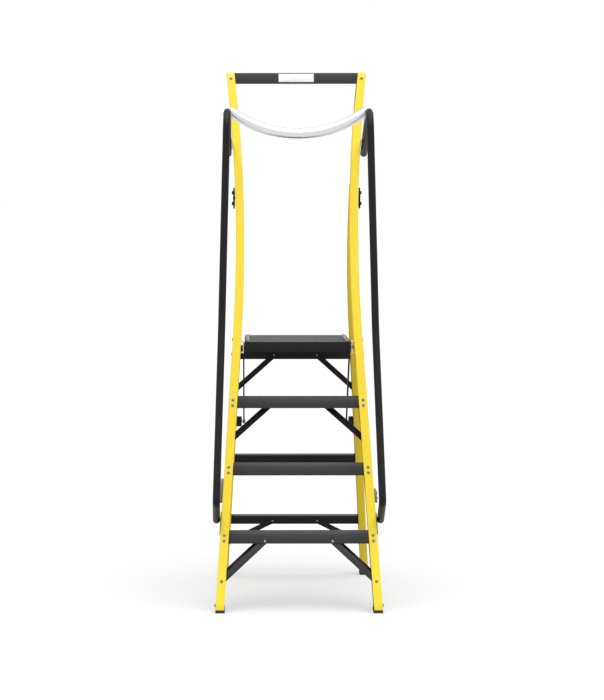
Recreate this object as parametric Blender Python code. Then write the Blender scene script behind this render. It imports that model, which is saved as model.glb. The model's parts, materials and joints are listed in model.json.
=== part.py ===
# Folding platform steps with glass-fibre stiles, full-length handrails and a swinging gate bar.
# Metres, +Z up, +Y to the back, origin on the floor under the middle of the standing frame.

import math

import bmesh
import bpy
from mathutils import Matrix, Vector
from mathutils.geometry import convex_hull_2d

# Driving dimensions: heights
TREAD_TOPS = (0.293, 0.543, 0.793)
PLATFORM_TOP = 1.002
FRAME_TOP = 2.050
LEG_TOP = 1.610
PAD_HEIGHT = 0.012

# Driving dimensions: the two leaning frames
FRONT_FLOOR_Y = -0.45857
BASE_DEPTH = 0.883
STILE_LEAN = 0.307
LEG_LEAN = -0.179
STILE_DEPTH = 0.082
LEG_DEPTH = 0.075
STILE_FLANGE = 0.0325
LEG_FLANGE = 0.030
GRP_WALL = 0.004
STILE_HALF_WIDTH = 0.3155
LEG_HALF_WIDTH = 0.3050
STILE_TAPER = 0.0640
LEG_TAPER = 0.0575
FLARE_FROM = 1.020
FLARE_RADIUS = 5.7

# Driving dimensions: bars, braces and small gaps
GAP = 0.0003
FACET_ALLOWANCE = 0.0008
SHEET = 0.0025
TREAD_SKIRT = 0.040
TOP_BAR_SKIRT = 0.0405
REAR_BARS = {"top": (0.9597, 0.0543), "middle": (0.5078, 0.0378), "lower": (0.2510, 0.0335)}
BRACE_DEPTH = GRP_WALL + SHEET + 2 * GAP
BRACES = {
    "lower_brace": {"inner": (0.1235, 0.2688), "outer": (0.2875, 0.1220), "width": 0.0275,
                    "front_width": 0.0237},
    "knee_brace": {"inner": (0.094, 0.7701), "outer": (0.2560, 0.6291), "width": 0.024, "lip": 0.014},
}
STRAP_THICKNESS = 0.003
STRAPS = {
    "rear_upper_brace": {"inner": (0.086, 0.9226), "outer": (0.2380, 0.7847), "radius": 0.011},
    "rear_lower_brace": {"inner": (0.0915, 0.2310), "outer": (0.2780, 0.1370), "radius": 0.011},
}

# Driving dimensions: pivots, as height and depth into the frame that carries them
HINGE_Z = 1.555
HINGE_DEPTH = 0.0346
PLATFORM_PIVOT_Z = 0.980
LINK_PIVOT_Z = 0.649
LINK_PIVOT_DEPTH = 0.0225
LINK_THICKNESS = 0.006
LINK_HALF_WIDTH = 0.010
PIN_RADIUS = 0.005
PIN_HEAD_RADIUS = 0.009
PIN_HEAD_HEIGHT = 0.005
LINK_PIN_RADIUS = 0.004
DRILL_REACH = 0.018

# Driving dimensions: platform
PLATFORM_FRONT_Y = FRONT_FLOOR_Y + 0.315
PLATFORM_DEPTH = 0.440
PLATFORM_HEIGHT = 0.040
PLATFORM_HALF_WIDTH = 0.2050
LINK_INNER_X = PLATFORM_HALF_WIDTH + 0.0005

# Driving dimensions: handrails and gate
RAIL_RADIUS = 0.0141
RAIL_WALL = 0.002
RAIL_UPPER_END = (0.2700, 0.665, 1.7330)
RAIL_TOP_CORNER = (0.2700, 0.2014, 1.9127)
RAIL_KNEE = (0.2914, 0.1520, 1.0600)
RAIL_LOWER_CORNER = (0.3100, -0.0307, 0.4255)
RAIL_LOWER_END = (0.3118, 0.1450, 0.3340)
RAIL_BEND_RADII = (0.070, 0.350, 0.026)
GATE_RADIUS = 0.020
GATE_BOW_RADIUS = 0.435
GATE_END_X = 0.2497
GATE_CAP_X = 0.2555
GATE_DROP = 0.0030

SIDES = {"left": -1, "right": 1}


class LeaningFrame:
    # One pair of channel uprights, which lean in side view and taper in front view.

    def __init__(self, floor_y, lean, depth, half_floor, taper, flange):
        self.floor_y = floor_y
        self.lean = lean
        self.depth = depth
        self.half_floor = half_floor
        self.taper = taper
        self.flange = flange
        self.cosine = 1 / math.sqrt(1 + lean * lean)

    def half_width(self, z):
        rise = max(0.0, z - FLARE_FROM)
        return self.half_floor - self.taper * z + rise * rise / (2 * FLARE_RADIUS)

    def y(self, z, depth=0.0):
        return self.floor_y + self.lean * z + depth / self.cosine

    def inner_web(self, z):
        return self.half_width(z) - GRP_WALL - GAP


FRONT = LeaningFrame(FRONT_FLOOR_Y, STILE_LEAN, STILE_DEPTH, STILE_HALF_WIDTH, STILE_TAPER, STILE_FLANGE)
REAR = LeaningFrame(FRONT_FLOOR_Y + BASE_DEPTH, LEG_LEAN, LEG_DEPTH, LEG_HALF_WIDTH, LEG_TAPER, LEG_FLANGE)

HINGE = Vector((0, REAR.y(HINGE_Z, HINGE_DEPTH), HINGE_Z))
PLATFORM_PIVOT = Vector((0, FRONT.y(PLATFORM_PIVOT_Z, STILE_DEPTH / 2), PLATFORM_PIVOT_Z))
LINK_PIVOT = Vector((0, REAR.y(LINK_PIVOT_Z, LINK_PIVOT_DEPTH), LINK_PIVOT_Z))
FOLD_ANGLE = math.atan(STILE_LEAN) - math.atan(LEG_LEAN)
PLATFORM_FOLD_ANGLE = math.pi / 2 - math.atan(STILE_LEAN)


def material(name, colour, roughness, metallic):
    made = bpy.data.materials.new(name)
    made.use_nodes = True
    shader = made.node_tree.nodes["Principled BSDF"]
    shader.inputs["Base Color"].default_value = (*colour, 1)
    shader.inputs["Roughness"].default_value = roughness
    shader.inputs["Metallic"].default_value = metallic
    made.diffuse_color = (*colour, 1)
    return made


def clear_scene():
    for old in list(bpy.data.objects):
        bpy.data.objects.remove(old)


def joint_empty(name, place):
    empty = bpy.data.objects.new(name, None)
    empty.location = place
    bpy.context.collection.objects.link(empty)
    return empty


def add_object(name, mesh, finish, joint=None):
    # A piece of a moving body hangs from the empty that stands on its joint's axis.
    made = bpy.data.objects.new(name, mesh)
    if finish:
        mesh.materials.append(finish)
    bpy.context.collection.objects.link(made)
    if joint:
        made.parent = joint
        made.matrix_parent_inverse = Matrix.Translation(-joint.location)
    return made


def loft(name, sections, finish, joint=None, ring=False, smooth=False):
    # Skins matching outlines in order; a ring joins the last outline to the first in place of end caps.
    shape = bmesh.new()
    loops = [[shape.verts.new(point) for point in outline] for outline in sections]
    pairs = list(zip(loops, loops[1:]))
    if ring:
        pairs.append((loops[-1], loops[0]))
    else:
        shape.faces.new(loops[0])
        shape.faces.new(loops[-1])
    for near, far in pairs:
        for i in range(len(near)):
            after = (i + 1) % len(near)
            shape.faces.new((near[i], near[after], far[after], far[i]))
    bmesh.ops.recalc_face_normals(shape, faces=shape.faces)
    mesh = bpy.data.meshes.new(name)
    shape.to_mesh(mesh)
    shape.free()
    if smooth:
        mesh.shade_smooth()
        mesh.set_sharp_from_angle(angle=math.radians(40))
    return add_object(name, mesh, finish, joint)


def circle(centre, radius, sides=14):
    turns = [2 * math.pi * i / sides for i in range(sides)]
    return [(centre[0] + radius * math.cos(t), centre[1] + radius * math.sin(t)) for t in turns]


def hull(points):
    return [points[i] for i in convex_hull_2d(points)]


def plate(name, side, outline, inner_x, outer_x, finish, joint=None):
    # A flat piece with a side-view outline of (y, z) points; its faces may follow the height.
    near = [(side * inner_x(z), y, z) for y, z in outline]
    far = [(side * outer_x(z), y, z) for y, z in outline]
    return loft(name, [near, far], finish, joint)


def turned(name, side, axis, profile, finish, joint=None):
    # A round piece along X through axis, given as (x, radius) steps.
    sections = []
    for x, radius in profile:
        sections.append([(side * x, y, z) for y, z in circle((axis.y, axis.z), radius)])
    return loft(name, sections, finish, joint, smooth=True)


def drill(target, side, axis, x, pin_radius):
    # Round hole along X for a pin, through the walls that stand within reach of x.
    radius = pin_radius + GAP
    cutter = turned(f"{target.name}_drill_{len(target.modifiers)}", side, axis,
                    [(x - DRILL_REACH, radius), (x + DRILL_REACH, radius)], None)
    cutter.parent = target.parent
    cutter.matrix_parent_inverse = target.matrix_parent_inverse
    cutter.hide_render = True
    cutter.display_type = "WIRE"
    cut = target.modifiers.new("drill", "BOOLEAN")
    cut.operation = "DIFFERENCE"
    cut.solver = "EXACT"
    cut.object = cutter


def channel(name, side, frame, heights, finish, joint=None):
    # Upright with its web outside and both flanges turned inwards.
    sections = []
    for z in heights:
        outer = frame.half_width(z)
        lip = outer - frame.flange
        web = outer - GRP_WALL
        back = frame.depth - GRP_WALL
        corners = [(outer, 0), (outer, frame.depth), (lip, frame.depth), (lip, back),
                   (web, back), (web, GRP_WALL), (lip, GRP_WALL), (lip, 0)]
        sections.append([(side * x, frame.y(z, depth), z) for x, depth in corners])
    return loft(name, sections, finish, joint)


def cross_bar(name, frame, top, skirt, finish, joint=None, setback=0.0):
    # Bar of upturned-U section, with ends that follow the taper inside both channels.
    front = GRP_WALL + GAP + setback
    back = frame.depth - GRP_WALL - GAP
    corners = [(front, top - skirt), (front, top), (back, top), (back, top - skirt),
               (back - SHEET, top - skirt), (back - SHEET, top - SHEET),
               (front + SHEET, top - SHEET), (front + SHEET, top - skirt)]
    sections = []
    for side in SIDES.values():
        sections.append([(side * frame.inner_web(z), frame.y(z, depth), z) for depth, z in corners])
    return loft(name, sections, finish, joint)


def channel_section(size):
    # Front flange, floor along the lower edge and taller back flange, as (across, depth) corners.
    low = -size["width"] / 2
    high = size["width"] / 2
    front_high = low + size["front_width"]
    front = BRACE_DEPTH
    back = STILE_DEPTH - BRACE_DEPTH
    return [(low, front), (front_high, front), (front_high, front + SHEET), (low + SHEET, front + SHEET),
            (low + SHEET, back - SHEET), (high, back - SHEET), (high, back), (low, back)]


def angle_section(size):
    # Face against the back skirt of a tread, with a lip that turns forward along its upper edge.
    low = -size["width"] / 2
    high = size["width"] / 2
    back = STILE_DEPTH - BRACE_DEPTH
    front = back - size["lip"]
    return [(low, back), (low, back - SHEET), (high - SHEET, back - SHEET), (high - SHEET, front),
            (high, front), (high, back)]


def folded_brace(name, side, frame, size, section, finish):
    # Folded sheet of one section, from a tread down to a stile.
    inner, outer = [Vector((x, z / frame.cosine)) for x, z in (size["inner"], size["outer"])]
    along = (outer - inner).normalized()
    upper = Vector((-along.y, along.x))
    if upper.y < 0:
        upper = -upper
    sections = []
    for place in (inner, outer):
        outline = []
        for across, depth in section:
            x, slant = place + upper * across
            z = slant * frame.cosine
            outline.append((side * x, frame.y(z, depth), z))
        sections.append(outline)
    return loft(name, sections, finish)


def strap_brace(name, side, frame, size, finish, joint=None):
    # Flat strap with round ends, between the front flange and the bars behind it.
    ends = [(x, z / frame.cosine) for x, z in (size["inner"], size["outer"])]
    outline = hull([point for end in ends for point in circle(end, size["radius"], 20)])
    sections = []
    for depth in (GRP_WALL + GAP, GRP_WALL + GAP + STRAP_THICKNESS):
        loop = []
        for x, slant in outline:
            z = slant * frame.cosine
            loop.append((side * x, frame.y(z, depth), z))
        sections.append(loop)
    return loft(name, sections, finish, joint)


def foot(name, side, frame, finish, joint=None):
    # Rubber pad with a plug that fills the end of the channel.
    inset = 0.0005
    pad_width = 0.0352
    plug_reach = 0.002
    plug_top = 0.052
    outer_edge = frame.half_width(0) - inset
    inner_edge = outer_edge - pad_width
    plug_inner = frame.half_width(0) - frame.flange - plug_reach
    sections = []
    for z in (0, PAD_HEIGHT):
        corners = [(outer_edge, inset), (outer_edge, frame.depth - inset),
                   (inner_edge, frame.depth - inset), (inner_edge, inset)]
        sections.append([(side * x, frame.y(PAD_HEIGHT, depth), z) for x, depth in corners])
    front = GRP_WALL + GAP
    back = frame.depth - front
    for z in (PAD_HEIGHT, plug_top):
        plug_outer = frame.inner_web(z)
        corners = [(plug_outer, front), (plug_outer, back), (plug_inner, back), (plug_inner, front)]
        sections.append([(side * x, frame.y(z, depth), z) for x, depth in corners])
    return loft(name, sections, finish, joint)


def filleted(corners, radii):
    # Points along straight runs with a round bend at each inner corner.
    bend_step = math.radians(10)
    path = [corners[0]]
    for before, corner, after, radius in zip(corners, corners[1:], corners[2:], radii):
        into = (corner - before).normalized()
        away = (after - corner).normalized()
        turn = into.angle(away)
        inward = (away - into * into.dot(away)).normalized()
        start = corner - into * radius * math.tan(turn / 2)
        centre = start + inward * radius
        steps = max(3, math.ceil(turn / bend_step))
        for i in range(steps + 1):
            angle = turn * i / steps
            path.append(centre - inward * radius * math.cos(angle) + into * radius * math.sin(angle))
    path.append(corners[-1])
    return path


def tube(name, path, radius, wall, finish):
    # Hollow tube, open at both ends, along a path that lies nearly in a side-view plane.
    outer = []
    inner = []
    for i, point in enumerate(path):
        tangent = (path[min(i + 1, len(path) - 1)] - path[max(i - 1, 0)]).normalized()
        across = (Vector((1, 0, 0)) - tangent * tangent.x).normalized()
        upward = tangent.cross(across)
        for loops, size in ((outer, radius), (inner, radius - wall)):
            loops.append([point + across * a + upward * b for a, b in circle((0, 0), size, 12)])
    return loft(name, outer + inner[::-1], finish, ring=True, smooth=True)


def rail_path(side):
    corners = (RAIL_UPPER_END, RAIL_TOP_CORNER, RAIL_KNEE, RAIL_LOWER_CORNER, RAIL_LOWER_END)
    placed = [Vector((side * x, FRONT_FLOOR_Y + y, z)) for x, y, z in corners]
    return filleted(placed, RAIL_BEND_RADII)


def rail_apex():
    return max(rail_path(1), key=lambda point: point.z)


def link_stud():
    # The stud sits where one rigid link spans the same length standing and folded.
    def turned_about(point, pivot, angle):
        return pivot + Matrix.Rotation(angle, 3, "X") @ (point - pivot)

    folded_pivot = turned_about(LINK_PIVOT, HINGE, -FOLD_ANGLE)
    standing = PLATFORM_PIVOT - LINK_PIVOT
    folded = PLATFORM_PIVOT - folded_pivot
    flat = Vector((0, 1, 0))
    raised = Matrix.Rotation(PLATFORM_FOLD_ANGLE, 3, "X") @ flat
    excess = folded.length_squared - standing.length_squared
    reach = excess / (2 * (flat.dot(standing) - raised.dot(folded)))
    return PLATFORM_PIVOT + flat * reach


def build_uprights(finishes, rear_joint):
    bend_steps = 8
    stile_heights = [PAD_HEIGHT + GAP]
    leg_heights = [PAD_HEIGHT + GAP]
    for i in range(bend_steps + 1):
        share = i / bend_steps
        stile_heights.append(FLARE_FROM + (FRAME_TOP - FLARE_FROM) * share)
        leg_heights.append(FLARE_FROM + (LEG_TOP - FLARE_FROM) * share)
    for word, side in SIDES.items():
        channel(f"front_stile_{word}", side, FRONT, stile_heights, finishes["yellow"])
        leg = channel(f"rear_leg_{word}", side, REAR, leg_heights, finishes["yellow"], rear_joint)
        drill(leg, side, HINGE, REAR.half_width(HINGE_Z), PIN_RADIUS)
        foot(f"front_foot_{word}", side, FRONT, finishes["rubber"])
        foot(f"rear_foot_{word}", side, REAR, finishes["rubber"], rear_joint)


def build_bars(finishes, rear_joint):
    for number, top in enumerate(TREAD_TOPS, 1):
        cross_bar(f"tread_{number}", FRONT, top, TREAD_SKIRT, finishes["grey"])
    cross_bar("top_bar", FRONT, FRAME_TOP, TOP_BAR_SKIRT, finishes["grey"])
    for word, (top, skirt) in REAR_BARS.items():
        cross_bar(f"rear_bar_{word}", REAR, top, skirt, finishes["black"], rear_joint, STRAP_THICKNESS + GAP)


def build_braces(finishes, rear_joint):
    for word, side in SIDES.items():
        lower = BRACES["lower_brace"]
        knee = BRACES["knee_brace"]
        folded_brace(f"lower_brace_{word}", side, FRONT, lower, channel_section(lower), finishes["grey"])
        folded_brace(f"knee_brace_{word}", side, FRONT, knee, angle_section(knee), finishes["black"])
        for name, size in STRAPS.items():
            strap_brace(f"{name}_{word}", side, REAR, size, finishes["black"], rear_joint)


def build_hinges(finishes):
    bolt_depth = 0.034
    bolt_heights = (1.534, 1.576)
    bolt_lobe = 0.020
    pin_lobe = 0.024
    thickness = 0.006
    nut_radius = 0.008
    nut_height = 0.006
    head_height = 0.002
    lobes = [((HINGE.y, HINGE.z), pin_lobe)]
    for z in bolt_heights:
        lobes.append(((FRONT.y(z, bolt_depth), z), bolt_lobe))
    outline = hull([point for centre, radius in lobes for point in circle(centre, radius, 20)])
    highest = max(z for _, z in outline)
    seat = FRONT.half_width(highest) + FACET_ALLOWANCE
    outside = seat + thickness
    nut = REAR.half_width(HINGE_Z) - GRP_WALL - 2 * GAP
    head = outside + GAP
    for word, side in SIDES.items():
        flange_plate = plate(f"hinge_plate_{word}", side, outline, lambda z: seat, lambda z: outside,
                             finishes["black"])
        drill(flange_plate, side, HINGE, seat, PIN_RADIUS)
        turned(f"hinge_pin_{word}", side, HINGE,
               [(nut - nut_height, nut_radius), (nut, nut_radius), (nut, PIN_RADIUS), (head, PIN_RADIUS),
                (head, PIN_HEAD_RADIUS), (head + 0.7 * head_height, PIN_HEAD_RADIUS),
                (head + head_height, 0.7 * PIN_HEAD_RADIUS)],
               finishes["black"])


def build_platform(finishes, platform_joint):
    back_y = PLATFORM_FRONT_Y + PLATFORM_DEPTH
    base = PLATFORM_TOP - PLATFORM_HEIGHT
    deck_base = base + SHEET + GAP
    lip_return = 0.014

    def deck_outline(inset, z):
        # The front lip covers the deck's front and turns back under it.
        half = PLATFORM_HALF_WIDTH - inset
        front = PLATFORM_FRONT_Y + SHEET + GAP + inset
        back = back_y - inset
        return [(-half, front, z), (half, front, z), (half, back, z), (-half, back, z)]

    deck = loft("platform_deck",
                [deck_outline(SHEET, PLATFORM_TOP - SHEET), deck_outline(SHEET, deck_base),
                 deck_outline(0, deck_base), deck_outline(0, PLATFORM_TOP)],
                finishes["grey"], platform_joint)
    lip_corners = [(0, base), (0, PLATFORM_TOP), (SHEET, PLATFORM_TOP), (SHEET, base + SHEET),
                   (lip_return, base + SHEET), (lip_return, base)]
    loft("platform_lip",
         [[(side * PLATFORM_HALF_WIDTH, PLATFORM_FRONT_Y + depth, z) for depth, z in lip_corners]
          for side in SIDES.values()],
         finishes["black"], platform_joint)
    strip_sides = (0.187, 0.199)
    strip_height = 0.004
    strip_margin = 0.008
    bracket_half = 0.018
    bracket_sheet = 0.004
    bracket_low = 0.958
    bracket_high = 1.005
    face = 0.2078
    pin_tip = PLATFORM_HALF_WIDTH - 0.009
    for word, side in SIDES.items():
        drill(deck, side, PLATFORM_PIVOT, PLATFORM_HALF_WIDTH, PIN_RADIUS)
        ends = (PLATFORM_FRONT_Y + strip_margin, back_y - strip_margin)
        sections = []
        for z in (PLATFORM_TOP + GAP, PLATFORM_TOP + strip_height):
            corners = [(0, 0), (1, 0), (1, 1), (0, 1)]
            sections.append([(side * strip_sides[i], ends[j], z) for i, j in corners])
        loft(f"platform_strip_{word}", sections, finishes["steel"], platform_joint)

        profile = [(face, bracket_low), (None, bracket_low), (None, bracket_low + bracket_sheet),
                   (face + bracket_sheet, bracket_low + bracket_sheet),
                   (face + bracket_sheet, bracket_high - bracket_sheet),
                   (None, bracket_high - bracket_sheet), (None, bracket_high), (face, bracket_high)]
        sections = []
        for y in (PLATFORM_PIVOT.y - bracket_half, PLATFORM_PIVOT.y + bracket_half):
            sections.append([(side * (FRONT.inner_web(z) if x is None else x), y, z) for x, z in profile])
        bracket = loft(f"platform_bracket_{word}", sections, finishes["silver"])
        drill(bracket, side, PLATFORM_PIVOT, face, PIN_RADIUS)
        head = face + bracket_sheet + GAP
        turned(f"platform_pin_{word}", side, PLATFORM_PIVOT,
               [(pin_tip, PIN_RADIUS), (head, PIN_RADIUS), (head, PIN_HEAD_RADIUS),
                (head + PIN_HEAD_HEIGHT, PIN_HEAD_RADIUS)],
               finishes["black"])


def build_links(finishes, rear_joint, link_joints):
    stud = link_stud()
    outer_x = LINK_INNER_X + LINK_THICKNESS
    block_face = 0.2175
    block_heights = (0.628, 0.667)
    block_depths = (0.0055, 0.0455)
    pin_tip = block_face + 0.0155
    nut_radius = 0.0075
    nut_height = 0.0035
    washer_radius = 0.008
    rivet_head_radius = 0.0075
    rivet_head_height = 0.0014
    ends = [(LINK_PIVOT.y, LINK_PIVOT.z), (stud.y, stud.z)]
    outline = hull([point for end in ends for point in circle(end, LINK_HALF_WIDTH, 20)])
    for word, side in SIDES.items():
        link = plate(f"link_{word}", side, outline, lambda z: LINK_INNER_X, lambda z: outer_x,
                     finishes["black"], link_joints[word])
        drill(link, side, LINK_PIVOT, LINK_INNER_X, LINK_PIN_RADIUS)
        drill(link, side, stud, LINK_INNER_X, LINK_PIN_RADIUS)
        turned(f"link_rivet_{word}", side, stud,
               [(LINK_INNER_X, LINK_PIN_RADIUS), (outer_x + GAP, LINK_PIN_RADIUS),
                (outer_x + GAP, rivet_head_radius), (outer_x + rivet_head_height, 0.7 * rivet_head_radius)],
               finishes["silver"], link_joints[word])
        sections = []
        for z in block_heights:
            corners = [(block_face, block_depths[0]), (REAR.inner_web(z), block_depths[0]),
                       (REAR.inner_web(z), block_depths[1]), (block_face, block_depths[1])]
            sections.append([(side * x, REAR.y(z, depth), z) for x, depth in corners])
        block = loft(f"link_block_{word}", sections, finishes["black"], rear_joint)
        drill(block, side, LINK_PIVOT, block_face, LINK_PIN_RADIUS)
        washer = (outer_x + GAP, block_face - GAP)
        nut = LINK_INNER_X - GAP
        turned(f"link_pin_{word}", side, LINK_PIVOT,
               [(nut - nut_height, nut_radius), (nut, nut_radius), (nut, LINK_PIN_RADIUS),
                (washer[0], LINK_PIN_RADIUS), (washer[0], washer_radius), (washer[1], washer_radius),
                (washer[1], LINK_PIN_RADIUS), (pin_tip, LINK_PIN_RADIUS)],
               finishes["silver"], rear_joint)


def stile_patch(heights, depths):
    # Side-view outline of a plate that lies on the outer face of a front stile.
    low, high = heights
    near, far = depths
    corners = ((low, near), (low, far), (high, far), (high, near))
    return [(FRONT.y(z, depth), z) for z, depth in corners]


def build_handrails(finishes):
    apex = rail_apex()
    gate_axis = Vector((0, apex.y, apex.z - GATE_DROP))
    pin_tip = GATE_END_X - 0.004
    plug_profile = ((GAP, RAIL_RADIUS), (0.004, RAIL_RADIUS), (0.009, 0.0105), (0.012, 0.006))
    spacer_from = (0.535, 1.7834)
    spacer_to = (0.610, 1.7543)
    spacer_radius = 0.011
    foot_plate_thickness = 0.003
    foot_plate_outline = stile_patch((0.286, 0.362), (0.004, 0.060))
    stay_thickness = 0.0105
    stay_heights = {"left": (0.398, 0.484), "right": (0.398, 0.447)}
    inner_side = RAIL_UPPER_END[0] - RAIL_RADIUS - GAP
    for word, side in SIDES.items():
        path = rail_path(side)
        rail = tube(f"handrail_{word}", path, RAIL_RADIUS, RAIL_WALL, finishes["black"])
        drill(rail, side, gate_axis, apex.x, PIN_RADIUS)
        head = apex.x + RAIL_RADIUS + GAP
        turned(f"gate_pin_{word}", side, gate_axis,
               [(pin_tip, PIN_RADIUS), (head, PIN_RADIUS), (head, PIN_HEAD_RADIUS),
                (head + PIN_HEAD_HEIGHT, 0.9 * PIN_HEAD_RADIUS)],
               finishes["silver"])

        outward = (path[0] - path[1]).normalized()
        across = (Vector((1, 0, 0)) - outward * outward.x).normalized()
        upward = outward.cross(across)
        sections = []
        for reach, radius in plug_profile:
            centre = path[0] + outward * reach
            sections.append([centre + across * a + upward * b for a, b in circle((0, 0), radius, 12)])
        loft(f"handrail_plug_{word}", sections, finishes["black"], smooth=True)

        ends = [(FRONT_FLOOR_Y + y, z) for y, z in (spacer_from, spacer_to)]
        outline = hull([point for centre in ends for point in circle(centre, spacer_radius, 16)])
        plate(f"handrail_spacer_{word}", side, outline, lambda z: FRONT.half_width(z) + FACET_ALLOWANCE,
              lambda z: inner_side, finishes["silver"])
        plate(f"handrail_foot_plate_{word}", side, foot_plate_outline, lambda z: FRONT.half_width(z) + GAP,
              lambda z: FRONT.half_width(z) + GAP + foot_plate_thickness, finishes["grey"])
        stay_outline = stile_patch(stay_heights[word], (0.030, 0.070))
        plate(f"handrail_stay_{word}", side, stay_outline, lambda z: FRONT.half_width(z) + GAP,
              lambda z: FRONT.half_width(z) + GAP + stay_thickness, finishes["steel"])
    return gate_axis


def build_gate(finishes, gate_joint):
    # Bowed tube cut square to X at both ends, with a cap on each cut.
    steps = 18
    sides = 16
    drop = math.sqrt(GATE_BOW_RADIUS ** 2 - GATE_END_X ** 2)
    centre_z = gate_joint.location.z + drop
    pivot_y = gate_joint.location.y
    loops = []
    for radius in (GATE_RADIUS, GATE_RADIUS - RAIL_WALL):
        rings = []
        for i in range(steps + 1):
            share = 2 * i / steps - 1
            ring = []
            for along, y in circle((0, 0), radius, sides):
                bow = GATE_BOW_RADIUS + along
                angle = share * math.asin(GATE_END_X / bow)
                ring.append((bow * math.sin(angle), pivot_y + y, centre_z - bow * math.cos(angle)))
            rings.append(ring)
        loops.append(rings)
    loft("gate_bar", loops[0] + loops[1][::-1], finishes["aluminium"], gate_joint, ring=True, smooth=True)
    slant = drop / GATE_BOW_RADIUS
    for word, side in SIDES.items():
        sections = []
        for x in (GATE_END_X + GAP, GATE_CAP_X):
            sections.append([(side * x, pivot_y + y, gate_joint.location.z + z / slant)
                             for y, z in circle((0, 0), GATE_RADIUS, sides)])
        cap = loft(f"gate_cap_{word}", sections, finishes["silver"], gate_joint, smooth=True)
        drill(cap, side, gate_joint.location, GATE_END_X, PIN_RADIUS)


def build():
    clear_scene()
    finishes = {
        "yellow": material("yellow_glass_fibre", (0.97, 0.735, 0.050), 0.45, 0.0),
        "grey": material("dark_grey_powder_coat", (0.032, 0.032, 0.033), 0.5, 0.0),
        "black": material("black_powder_coat", (0.013, 0.013, 0.0135), 0.45, 0.0),
        "silver": material("zinc_plated_steel", (0.56, 0.58, 0.60), 0.35, 1.0),
        "steel": material("dull_steel", (0.26, 0.28, 0.30), 0.4, 1.0),
        "aluminium": material("satin_aluminium", (0.75, 0.76, 0.78), 0.35, 1.0),
        "rubber": material("black_rubber", (0.012, 0.012, 0.012), 0.85, 0.0),
    }
    rear_joint = joint_empty("rear_frame_axis", HINGE)
    platform_joint = joint_empty("platform_axis", PLATFORM_PIVOT)
    link_joints = {word: joint_empty(f"link_{word}_axis", LINK_PIVOT) for word in SIDES}
    build_uprights(finishes, rear_joint)
    build_bars(finishes, rear_joint)
    build_braces(finishes, rear_joint)
    build_hinges(finishes)
    build_platform(finishes, platform_joint)
    build_links(finishes, rear_joint, link_joints)
    gate_axis = build_handrails(finishes)
    gate_joint = joint_empty("gate_axis", gate_axis)
    build_gate(finishes, gate_joint)


build()
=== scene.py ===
import json
import math

import bmesh
import bpy
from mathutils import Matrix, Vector

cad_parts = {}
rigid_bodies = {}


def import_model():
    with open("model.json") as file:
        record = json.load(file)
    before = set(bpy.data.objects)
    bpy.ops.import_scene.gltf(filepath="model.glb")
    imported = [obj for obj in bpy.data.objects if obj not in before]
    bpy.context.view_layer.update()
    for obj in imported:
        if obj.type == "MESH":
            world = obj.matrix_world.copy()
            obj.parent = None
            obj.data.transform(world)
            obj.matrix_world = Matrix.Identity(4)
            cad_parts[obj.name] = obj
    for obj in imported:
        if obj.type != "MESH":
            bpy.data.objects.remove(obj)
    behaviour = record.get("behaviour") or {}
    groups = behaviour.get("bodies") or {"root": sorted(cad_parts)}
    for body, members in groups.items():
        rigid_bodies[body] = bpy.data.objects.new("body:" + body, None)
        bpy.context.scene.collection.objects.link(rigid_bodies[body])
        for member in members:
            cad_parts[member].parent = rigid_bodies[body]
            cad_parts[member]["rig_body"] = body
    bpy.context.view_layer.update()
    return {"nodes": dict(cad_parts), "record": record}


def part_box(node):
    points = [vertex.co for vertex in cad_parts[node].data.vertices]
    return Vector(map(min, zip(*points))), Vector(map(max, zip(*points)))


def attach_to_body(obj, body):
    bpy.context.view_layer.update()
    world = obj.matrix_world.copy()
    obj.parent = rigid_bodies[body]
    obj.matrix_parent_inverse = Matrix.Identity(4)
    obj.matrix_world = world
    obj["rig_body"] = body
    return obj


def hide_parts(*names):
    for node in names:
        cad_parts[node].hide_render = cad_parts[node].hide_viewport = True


bpy.ops.object.select_all(action="SELECT")
bpy.ops.object.delete()  # the start-up objects
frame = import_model()
slotOf = {row["node"]: row["material_slot"] for row in frame["record"]["subparts"]}
print("frame loaded:", len(frame["nodes"]), "nodes")


# finishes: a grain is (stretch, size, detail) and a bump is (strength, height)

even = (1, 1, 1)  # grain that isn't drawn out
grainSpan = (0.3, 0.7)  # most of the noise lies between these


def newFinish(name, metallic, shine=0.5):
    finish = bpy.data.materials.new(name)
    finish.use_nodes = True
    shader = finish.node_tree.nodes["Principled BSDF"]
    shader.inputs["Metallic"].default_value = metallic
    shader.inputs["Specular IOR Level"].default_value = shine
    return finish


def addGrain(finish, stretch, size, detail):
    # noise on Object coordinates, drawn out along one axis by stretch
    nodes = finish.node_tree.nodes
    links = finish.node_tree.links
    place = nodes.new("ShaderNodeTexCoord")
    mapping = nodes.new("ShaderNodeMapping")
    mapping.inputs["Scale"].default_value = stretch
    noise = nodes.new("ShaderNodeTexNoise")
    noise.inputs["Scale"].default_value = size
    noise.inputs["Detail"].default_value = detail
    links.new(place.outputs["Object"], mapping.inputs["Vector"])
    links.new(mapping.outputs["Vector"], noise.inputs["Vector"])
    return noise.outputs["Fac"]


def tint(finish, grain, dark, light):
    nodes = finish.node_tree.nodes
    links = finish.node_tree.links
    ramp = nodes.new("ShaderNodeValToRGB")
    for i, colour in enumerate((dark, light)):
        ramp.color_ramp.elements[i].position = grainSpan[i]
        ramp.color_ramp.elements[i].color = (*colour, 1)
    links.new(grain, ramp.inputs["Fac"])
    links.new(ramp.outputs["Color"], nodes["Principled BSDF"].inputs["Base Color"])


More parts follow.
